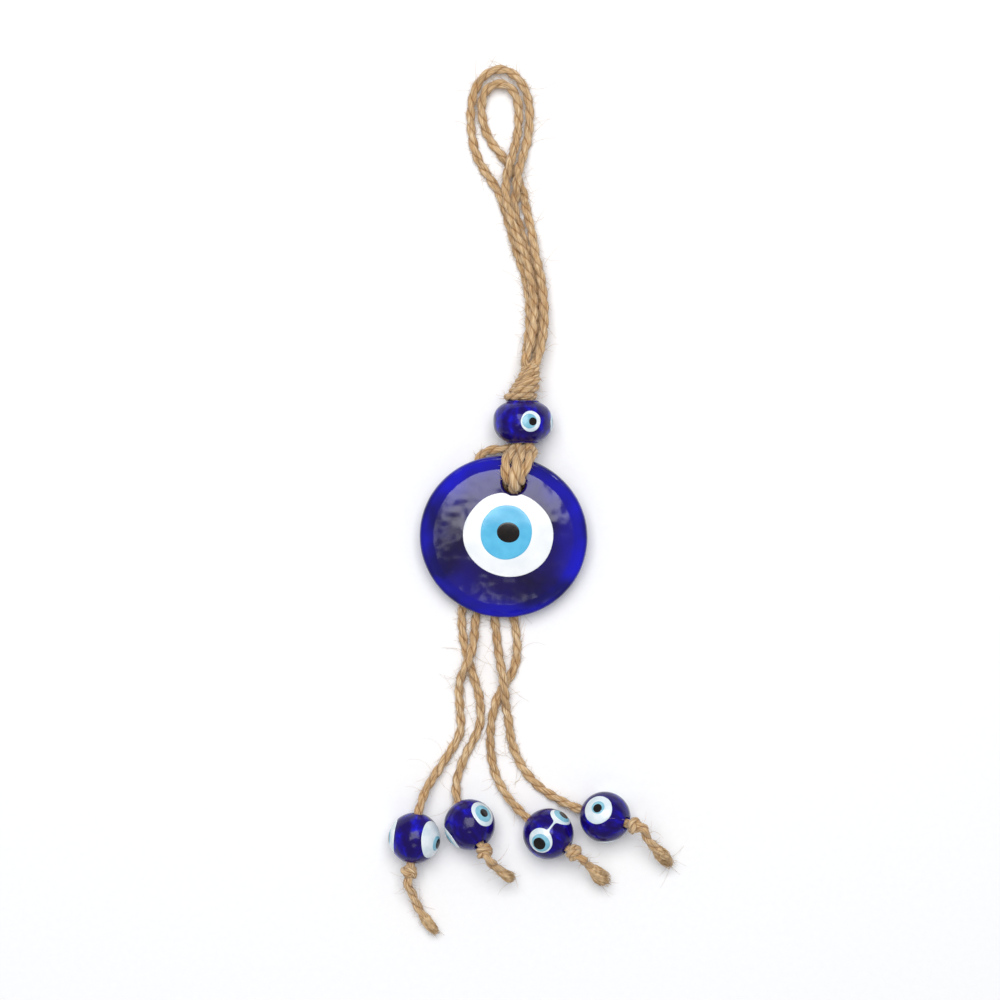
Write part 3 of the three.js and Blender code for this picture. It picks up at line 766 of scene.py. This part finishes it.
def stopper_knot(number, bead, twine):
    """An overhand knot drawn tight: a trefoil round the bore's axis."""
    axis = bead_axis(bead)
    side = axis.orthogonal().normalized()
    rise = axis.cross(side)
    centre = on_bore(bead, bead["knot"])
    route = []
    for k in range(30):
        t = 2 * math.pi * k / 30
        wide = 0.00100 + 0.00042 * math.cos(3 * t)
        angle = 2 * t + number
        route.append(
            centre + wide * (side * math.cos(angle) + rise * math.sin(angle))
            - axis * 0.00066 * math.sin(3 * t)
        )
    name = f"stopper_knot_twine_{number}"
    thing = strand(name, route, twine, seed=70 + number, ply=0.78, closed=True)[0]
    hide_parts(f"stopper_knot_{number}")
    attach(thing, f"tail_{number}")
    return thing


# How far each cut end is frayed, and its radii from where the fray starts to the tip.
FRAYS = [
    (0.0060, (0.00105, 0.00130, 0.00125, 0.00110)),
    (0.0050, (0.00105, 0.00115, 0.00150, 0.00145)),
    (0.0065, (0.00105, 0.00150, 0.00205, 0.00190)),
    (0.0070, (0.00105, 0.00165, 0.00170, 0.00115)),
]


def tails(twine, loose, cut):
    """Each tail from the back knot behind the disc, through its bead and stopper knot, to its frayed tip."""
    for i, bead in enumerate(BEADS):
        number = i + 1
        start = Vector(TAIL_UPPER[i][0])
        root = start + (BACK_KNOT - start) * 0.55
        through = [on_bore(bead, d) for d in (-BEAD_RADIUS, -0.002, 0.002, bead["knot"] - 0.0012)]
        past = [on_bore(bead, bead["knot"] + d) for d in (0.0, 0.0018, 0.00285)]
        route = [root, *TAIL_UPPER[i], *TAIL_LOWER[i], *through, *past, *TAIL_END[i]]
        thing, line = strand(f"tail_twine_{number}", route, twine, seed=50 + i, taper=0.0035)
        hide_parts(*(f"{part}_{number}" for part in ("tail_upper", "tail_lower", "tail_end")))
        brush = frayed_end(f"tail_fray_{number}", line, cut, 90 + i, *FRAYS[i])
        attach(brush, f"tail_{number}")
        knot = stopper_knot(number, bead, twine)
        total = path_length(line)
        at_bead = sum(1 for p in line if (p - on_bore(bead, 0)).length < BEAD_RADIUS) * RING_STEP
        mid = min(range(len(line)), key=lambda j: (line[j] - on_bore(bead, 0)).length) / len(line)
        half = 0.5 * at_bead / total
        hairs = fuzz(f"tail_fuzz_{number}", line, loose, 80 + i, skip=((mid - half, mid + half),))
        for piece in (thing, hairs):
            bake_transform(piece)


# ---------------------------------------------------------------- glass pieces

def lathe_y(name, outline, material):
    """A twine-covered body of rings across Y, from the (x, radius, y) of each ring."""
    sides = 40
    verts, fibre, groove_shade_mask = [], [], []
    for x, radius, y in outline:
        for k in range(sides):
            angle = 2 * math.pi * k / sides
            verts.append(Vector((x + radius * math.cos(angle), y, 0.0066 + radius * math.sin(angle))))
            fibre.append((math.cos(angle) * 2, y * 1000, math.sin(angle) * 2))
            # A fixed 0.3 gives the whole body a middling painted groove shade.
            groove_shade_mask.append(0.3)
    thing = make_object(name, verts, tube_faces(len(outline), sides), material)
    set_attribute(thing, "fibre", "FLOAT_VECTOR", fibre)
    set_attribute(thing, "groove_shade_mask", "FLOAT", groove_shade_mask)
    return thing


def bead_glass(name, centre, axis, outline, material, body, seed, wobble=0.00006):
    """A bead turned round its bore: outline gives (radius, distance along the bore), closed on itself."""
    sides = 72
    side = axis.orthogonal().normalized()
    rise = axis.cross(side)
    verts, grain = [], []
    for radius, along in outline:
        for k in range(sides):
            angle = 2 * math.pi * k / sides
            bulge = noise.noise(Vector((math.cos(angle) + seed, math.sin(angle), along * 200)))
            r = radius + wobble * bulge * min(1.0, radius / 0.004)
            out = side * math.cos(angle) + rise * math.sin(angle)
            verts.append(centre + axis * along + out * r)
            grain.append((math.cos(angle) * 2 + seed * 3.1, math.sin(angle) * 2, along * 1000))
    faces = tube_faces(len(outline), sides, closed=True)
    thing = make_object(name, verts, faces, material)
    set_attribute(thing, "grain", "FLOAT_VECTOR", grain)
    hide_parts(name.replace("_body", "_glass"))
    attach(thing, body)
    return thing


def arc_points(radius_at, count):
    return [radius_at(i / (count - 1)) for i in range(count)]


def round_outline():
    """From the bore over the ball and back: a sphere with small rounded mouths at the bore."""
    lip = 0.00035
    start = math.asin((BEAD_BORE + lip) / BEAD_RADIUS)
    ball = arc_points(lambda t: (
        BEAD_RADIUS * math.sin(start + t * (math.pi - 2 * start)),
        -BEAD_RADIUS * math.cos(start + t * (math.pi - 2 * start)),
    ), 56)
    edge = BEAD_RADIUS * math.cos(start)
    bore = [(BEAD_BORE, edge - lip), (BEAD_BORE, 0.002), (BEAD_BORE, -0.002), (BEAD_BORE, -edge + lip)]
    mouths = [(BEAD_BORE + 0.0001, -edge + 0.00008)]
    return [*mouths, *ball, (BEAD_BORE + 0.0001, edge - 0.00008), *bore]


def barrel_radius(y):
    """The barrel's radius at a distance along its bore from the middle."""
    return max(BARREL_END, BARREL_RADIUS * math.sqrt(1 - (abs(y) / (1.08 * BARREL_HALF)) ** 2.6))


def barrel_outline():
    """From the bore over the barrel's bulge and back."""
    lip = 0.0004
    along = [BARREL_HALF * math.sin(math.pi * (i / 55 - 0.5)) for i in range(56)]
    belly = [(barrel_radius(y), y) for y in along]
    bore = [
        (BARREL_BORE + lip, BARREL_HALF), (BARREL_BORE + 0.00012, BARREL_HALF - 0.00015),
        (BARREL_BORE, BARREL_HALF - lip), (BARREL_BORE, 0.0015), (BARREL_BORE, -0.0015),
        (BARREL_BORE, -BARREL_HALF + lip), (BARREL_BORE + 0.00012, -BARREL_HALF + 0.00015),
        (BARREL_BORE + lip, -BARREL_HALF),
    ]
    return [*belly, *bore]


def eye_layer(name, surface, size, proud, material, body, seed, middle=(0, 0), replaced=None):
    """A round drop of glass fused on a surface: rounded at its edge and not quite round in outline.

    surface(u, v, lift) is the point at (u, v) from the eye's middle, at a lift above the glass.
    size is the drop's half widths along u and v.
    """
    sides, rings = 56, 12
    verts = []
    profile = [(j / rings, proud) for j in range(rings)]
    profile += [(0.985, proud - 0.00001), (1.0, proud - 0.00004), (1.0, -0.00012)]
    profile += [(0.5, -0.0004), (0.0, -0.0005)]
    for share, lift in profile:
        for k in range(sides):
            angle = 2 * math.pi * k / sides
            ragged = 1 + 0.035 * noise.noise(Vector((math.cos(angle) * 1.3 + seed, math.sin(angle) * 1.3, 0)))
            u = middle[0] + size[0] * share * ragged * math.cos(angle)
            v = middle[1] + size[1] * share * ragged * math.sin(angle)
            verts.append(surface(u, v, lift))
    thing = make_object(name, verts, tube_faces(len(profile), sides), material)
    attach(thing, body)
    if replaced:
        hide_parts(replaced)
    return thing


def fused_eye(node, surface, spec, materials, body, seed):
    """One eye on a bead: white, blue and pupil, each fused on the last."""
    white, blue, pupil, blue_at, pupil_at = spec
    layers = [
        ("white", white, (0, 0), 0.00008, node), ("blue", (blue, blue), blue_at, 0.00013, None),
        ("pupil", (pupil, pupil), pupil_at, 0.00018, None),
    ]
    for k, (part, size, middle, proud, replaced) in enumerate(layers):
        slot = "eye_" + ("black" if part == "pupil" else part)
        eye_layer(
            f"{node}_{part}", surface, [MM * w for w in size], proud, materials[slot], body,
            seed + k, [MM * w for w in middle], replaced,
        )


def ball_surface(centre, direction, upward, radius):
    """Points on a ball round a direction, measured along its surface."""
    facing = Vector(direction).normalized()
    right = upward.cross(facing)
    if right.length < 1e-4:
        right = facing.orthogonal()
    right.normalize()
    top = facing.cross(right)

    def point(u, v, lift):
        out = math.hypot(u, v)
        angle = out / radius
        across = (right * u + top * v) / max(out, 1e-9)
        return centre + (radius + lift) * (facing * math.cos(angle) + across * math.sin(angle))

    return point


def barrel_surface(angle):
    """Points on the barrel's belly round an angle about its bore."""
    def point(u, v, lift):
        a = angle + u / BARREL_RADIUS
        r = barrel_radius(v) + lift
        return BARREL_CENTRE + Vector((r * math.sin(a), v, r * math.cos(a)))

    return point


def glass_thread(name, surface, start, end, material, body):
    """A thin thread of white glass drawn over a bead between two eyes."""
    line = [Vector(start).lerp(Vector(end), i / 14) for i in range(15)]
    verts, sides = [], 8
    for i, at in enumerate(line):
        along = (Vector(end) - Vector(start)).normalized()
        across = Vector((-along.y, along.x))
        wide = 0.00024 + 0.0007 * abs(2 * i / 14 - 1) ** 5
        for k in range(sides):
            angle = 2 * math.pi * k / sides
            place = at + across * wide * math.cos(angle)
            verts.append(surface(place.x, place.y, 0.00009 * math.sin(angle)))
    thing = make_object(name, verts, tube_faces(len(line), sides), material)
    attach(thing, body)


def beads(glass, materials):
    for i, bead in enumerate(BEADS):
        name = f"bead_{i + 1}"
        centre = on_bore(bead, 0)
        bead_glass(f"{name}_body", centre, bead_axis(bead), round_outline(), glass, name, 5 + 2 * i)
        for k, (direction, *spec) in enumerate(bead["eyes"]):
            surface = ball_surface(centre, direction, Vector((0, 1, 0)), BEAD_RADIUS)
            fused_eye(f"{name}_eye_{k + 1}", surface, spec, materials, name, 7 * i + 3 * k)
    surface = ball_surface(on_bore(BEADS[2], 0), (0.1, 0.35, 0.93), Vector((0, 1, 0)), BEAD_RADIUS)
    white = materials["eye_white"]
    glass_thread("bead_3_thread", surface, (-0.0010, -0.0010), (0.0012, 0.0017), white, "bead_3")


def barrel(glass, materials):
    along = Vector((0, 1, 0))
    outline = barrel_outline()
    bead_glass("barrel_body", BARREL_CENTRE, along, outline, glass, "barrel_bead", 31, 0.00009)
    spec = ((2.45, 2.5), 1.75, 0.95, (-0.35, 0.05), (0.4, -0.05))
    for k, degrees in enumerate(BARREL_EYES):
        surface = barrel_surface(math.radians(degrees))
        fused_eye(f"barrel_eye_{k + 1}", surface, spec, materials, "barrel_bead", 60 + 3 * k)


def disc_point(x, y, z):
    turn = Matrix.Rotation(DISC_TURN, 3, "Z") @ Matrix.Rotation(DISC_TILT, 3, "X")
    return DISC_CENTRE + turn @ Vector((x, y, z))


def dome(x, y):
    """Height of the disc's front: a low wavy dome, then a steep outer band."""
    rho = math.hypot(x, y / DISC_SHORTENING)
    if rho <= DISC_SHOULDER:
        share = rho / DISC_SHOULDER
        height = DISC_THICKNESS - (DISC_THICKNESS - DISC_SHOULDER_HEIGHT) * share ** 2.2
    else:
        share = (rho - DISC_SHOULDER) / (DISC_RADIUS - DISC_SHOULDER)
        height = DISC_SHOULDER_HEIGHT - 0.0023 * share ** 1.15
    swell = noise.noise(Vector((x * 95, y * 95, 2.0))) * 0.00024
    return height + swell * min(1.0, rho / 0.008, (DISC_RADIUS - rho) / 0.003)


def disc_glass(material):
    """The disc: rings that spread from the hole to the rim, then round the edge and back underneath."""
    sides, rings = 168, 90
    edge = DISC_RADIUS - 0.0009
    lip = DISC_LIP
    verts, reach = [], []

    def ring(share, height, rho=None):
        for k in range(sides):
            angle = 2 * math.pi * k / sides
            if rho is None:
                hole_x = DISC_HOLE.x + DISC_HOLE_RADIUS * math.cos(angle)
                hole_y = DISC_HOLE.y + DISC_HOLE_RADIUS * math.sin(angle)
                x = hole_x + (edge * math.cos(angle) - hole_x) * share
                y = hole_y + (edge * DISC_SHORTENING * math.sin(angle) - hole_y) * share
            else:
                x = rho * math.cos(angle)
                y = rho * DISC_SHORTENING * math.sin(angle)
            z = height(x, y)
            verts.append(disc_point(x, y, z))
            reach.append(min(1.0, math.hypot(x, y / DISC_SHORTENING) / DISC_RADIUS))

    def front(x, y):
        away = math.hypot(x - DISC_HOLE.x, y - DISC_HOLE.y) - DISC_HOLE_RADIUS
        drop = lip - math.sqrt(max(0.0, lip ** 2 - (lip - away) ** 2)) if away < lip else 0.0
        return dome(x, y) - drop

    for i in range(rings + 1):
        ring((i / rings) ** 1.25, front)
    waist = 0.0019
    top = dome(edge, 0.0)
    for t in (0.15, 0.3, 0.45, 0.6, 0.75, 0.9, 1.0):
        rho = edge + (DISC_RADIUS - edge) * math.sin(t * math.pi / 2) ** 0.85
        height = waist + (top - waist) * math.cos(t * math.pi / 2) ** 0.8
        ring(0, lambda x, y, h=height: h, rho)
    for t in (0.2, 0.4, 0.6, 0.8, 1.0):
        rho = DISC_RADIUS - 0.0014 * (1 - math.cos(t * math.pi / 2))
        ring(0, lambda x, y, h=waist * (1 - math.sin(t * math.pi / 2)): h, rho)
    back_rings = rings // 3
    for i in range(back_rings - 1, -1, -1):
        ring(0.97 * i / back_rings, lambda x, y: 0.0)
    for height in (0.0004, 0.002, 0.004):
        ring(0.0, lambda x, y, h=height: h)
    count = len(verts) // sides
    thing = make_object("disc_body", verts, tube_faces(count, sides, closed=True), material)
    set_attribute(thing, "reach", "FLOAT", reach)
    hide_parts("disc_glass")
    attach(thing, "disc")


def disc_surface(centre):
    def point(u, v, lift):
        x, y = centre[0] + u, centre[1] + v
        hole = Vector((x, y)) - DISC_HOLE
        clear = DISC_HOLE_RADIUS + DISC_LIP * 0.6
        if hole.length < clear:
            hole = hole.normalized() * clear
            x, y = DISC_HOLE.x + hole.x, DISC_HOLE.y + hole.y
        return disc_point(x, y, dome(x, y) + lift)

    return point


def disc_eye(materials):
    for i, (node, centre, size, proud, slot) in enumerate(DISC_LAYERS):
        name = node + "_layer"
        eye_layer(
            name, disc_surface(centre), size, proud, materials[slot], "disc", 100 + i, replaced=node,
        )


# ---------------------------------------------------------------- stage

LAMP_TARGET = Vector((0, 0.03, 0))


def stage():
    """The pale floor that the ornament lies on."""
    bpy.ops.mesh.primitive_plane_add(size=6)
    floor = bpy.context.object
    floor.name = "floor"
    floor.data.materials.append(floor_material())


def lamp(name, place, size, power):
    """A rectangular soft light aimed at the middle of the ornament."""
    data = bpy.data.lights.new(name, "AREA")
    data.shape = "RECTANGLE"
    data.size, data.size_y = size
    data.energy = power
    light = bpy.data.objects.new(name, data)
    light.location = place
    light.rotation_euler = (LAMP_TARGET - Vector(place)).to_track_quat("-Z", "Y").to_euler()
    bpy.context.collection.objects.link(light)


def lighting():
    """White overhead softbox, two weak side lights and a pale surround."""
    lamp("key", (-0.02, 0.30, 0.98), (0.72, 0.66), 9.0)
    lamp("left_strip", (-0.34, -0.12, 0.95), (0.05, 0.36), 0.22)
    lamp("low_patch", (-0.06, -0.50, 0.85), (0.22, 0.10), 0.22)
    world = bpy.data.worlds.new("studio")
    world.use_nodes = True
    background = world.node_tree.nodes["Background"]
    background.inputs["Color"].default_value = (0.93, 0.95, 1.0, 1)
    background.inputs["Strength"].default_value = 0.36
    bpy.context.scene.world = world
    bpy.context.scene.view_settings.view_transform = "Standard"


def main():
    make_camera()
    twine = twine_material()
    loose = fibre_material("jute_fibre", (0.44, 0.29, 0.15), (0.78, 0.60, 0.38))
    cut = fibre_material("jute_cut_end", (0.46, 0.29, 0.14), (0.86, 0.64, 0.38))
    hanger(twine, loose)
    tails(twine, loose, cut)
    collar(twine, loose)
    rim(twine, loose)
    back_knot(twine)
    white = enamel_material("white_glass", (0.82, 0.86, 0.89), (0.94, 0.95, 0.95), 220)
    blue = enamel_material("sky_blue_glass", (0.085, 0.44, 0.70), (0.13, 0.54, 0.80), 300)
    black = enamel_material("black_glass", (0.004, 0.003, 0.003), (0.012, 0.007, 0.006), 500)
    bead_blue = bead_glass_material()
    disc_glass(disc_glass_material())
    enamels = {"eye_white": white, "eye_blue": blue, "eye_black": black}
    disc_eye(enamels)
    pale_blue = enamel_material("pale_blue_glass", (0.17, 0.45, 0.60), (0.29, 0.58, 0.70), 500)
    milky = enamel_material("milky_glass", (0.62, 0.74, 0.80), (0.86, 0.91, 0.93), 420)
    small_enamels = {"eye_white": milky, "eye_blue": pale_blue, "eye_black": black}
    barrel(bead_blue, small_enamels)
    beads(bead_blue, small_enamels)
    stage()
    lighting()


main()
